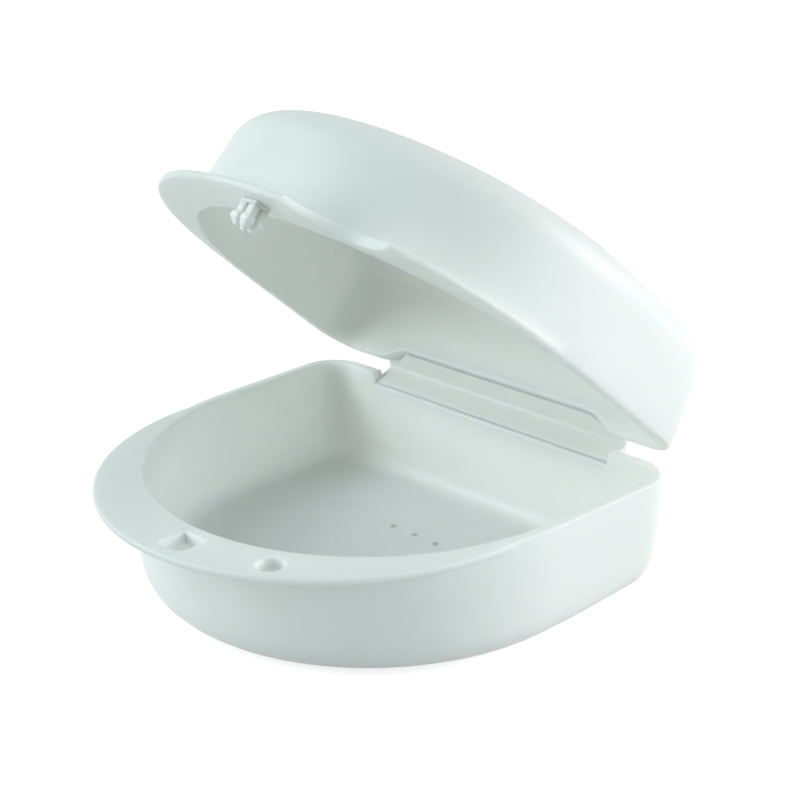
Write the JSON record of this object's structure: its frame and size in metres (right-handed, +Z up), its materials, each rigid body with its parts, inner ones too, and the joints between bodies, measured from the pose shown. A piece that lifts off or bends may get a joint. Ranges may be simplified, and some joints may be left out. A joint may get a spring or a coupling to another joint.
{
  "type": "orthodontic retainer case",
  "caption": "White D-shaped plastic retainer case with a domed lid on a flexing back web, a front flange and a split snap peg; shown part open.",
  "frame": {"origin": "on the flat underside of the tray, below the centre of the front curve", "axes": "+Z up from the table, +Y towards the hinge, +X to the right seen from the front flange"},
  "size_m": [0.0806, 0.0839, 0.0762],
  "materials": {
    "shell": "satin",
    "web": "satin"
  },
  "bodies": {
    "tray": {"base_tray": "shell", "base_hinge_ledge": "shell"},
    "web": {"hinge_web": "web"},
    "lid": {"lid_shell": "shell", "lid_hinge_ledge": "shell", "snap_root": "shell", "snap_finger_front_right": "shell", "snap_finger_front_left": "shell", "snap_finger_back_right": "shell", "snap_finger_back_left": "shell"}
  },
  "joints": [
    {"name": "tray_fold", "type": "hinge", "parent": "tray", "child": "web", "pos_m": [0, 0.0288, 0.0179], "axis": [-1, 0, 0], "range_deg": [-20.3, 68]},
    {"name": "lid_fold", "type": "hinge", "parent": "web", "child": "lid", "pos_m": [0, 0.03022, 0.02175], "axis": [-1, 0, 0], "range_deg": [-20.3, 68]}
  ],
  "couplings": [
    {"joint": "lid_fold", "follows": "tray_fold", "ratio": 1}
  ]
}
